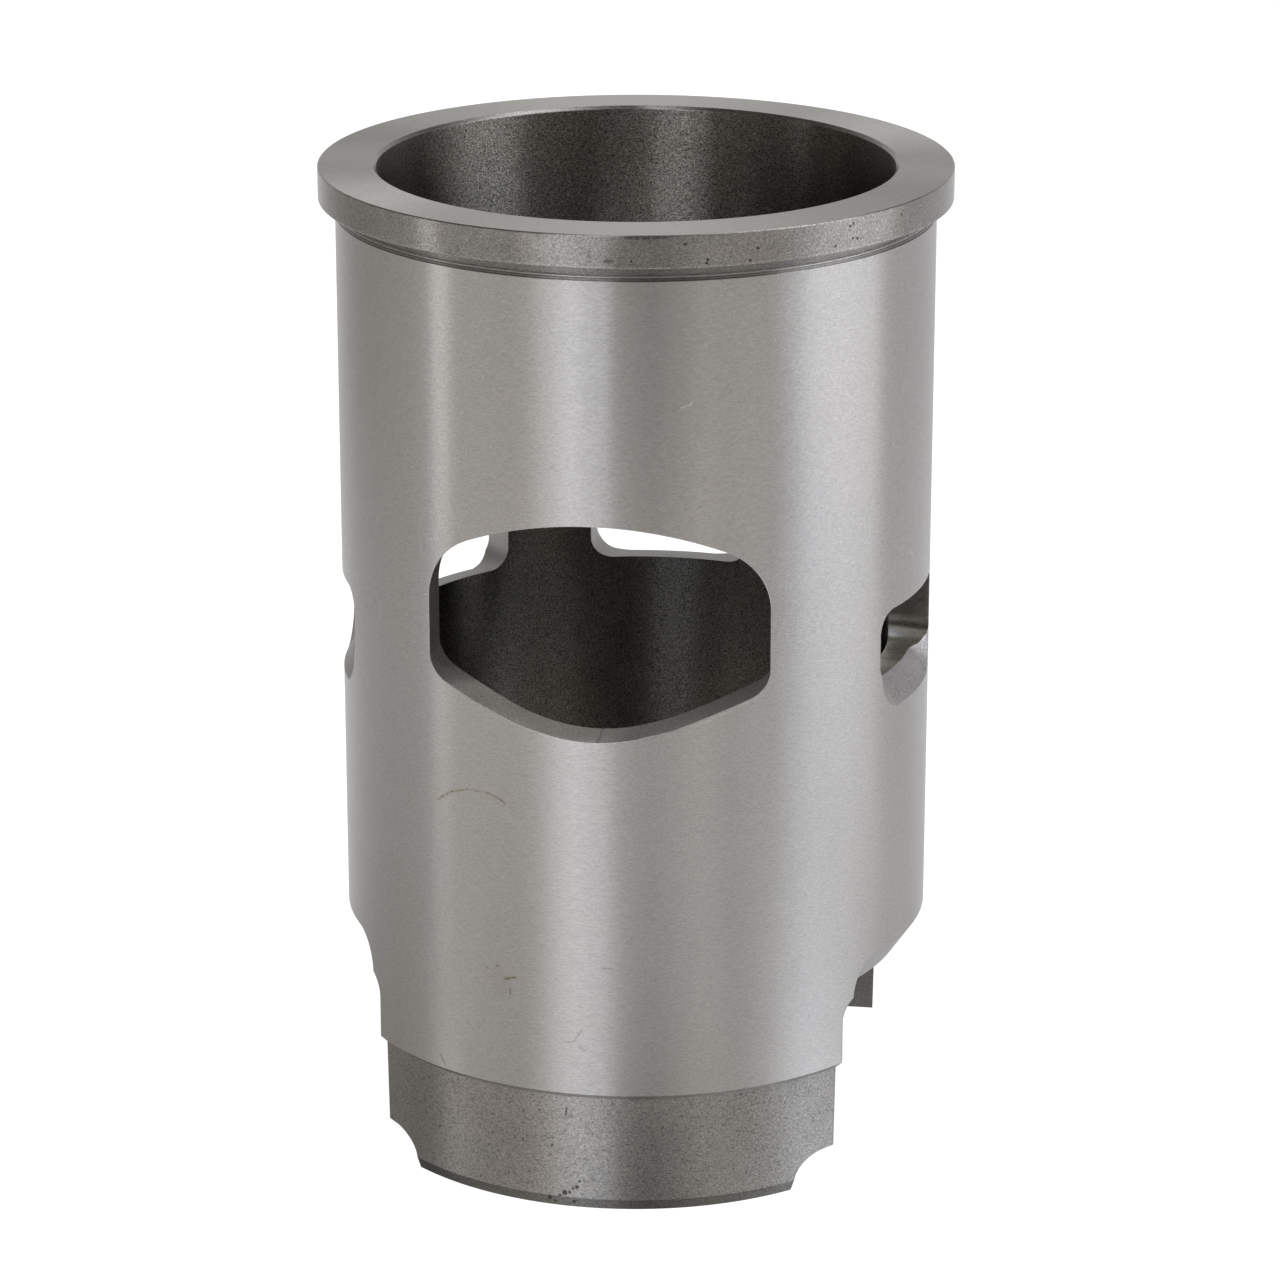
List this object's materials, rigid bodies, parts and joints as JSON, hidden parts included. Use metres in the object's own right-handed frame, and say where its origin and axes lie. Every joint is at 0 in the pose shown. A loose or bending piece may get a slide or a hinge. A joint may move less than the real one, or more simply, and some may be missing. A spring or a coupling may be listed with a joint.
{
  "type": "cylinder liner",
  "caption": "Flanged cast-iron liner of a two-stroke cylinder: an arched exhaust port, ramped transfer ports round the wall and a windowed skirt with a stepped foot.",
  "frame": {"origin": "centre of the lower end, on the bore's axis, in the plane of the tongues' feet", "axes": "+Z along the bore towards the flange, exhaust port towards -Y, boost port towards +Y"},
  "size_m": [0.098, 0.098, 0.1559],
  "materials": {
    "iron": "ground"
  },
  "bodies": {
    "root": {"cylinder_liner": "iron"}
  },
  "joints": []
}
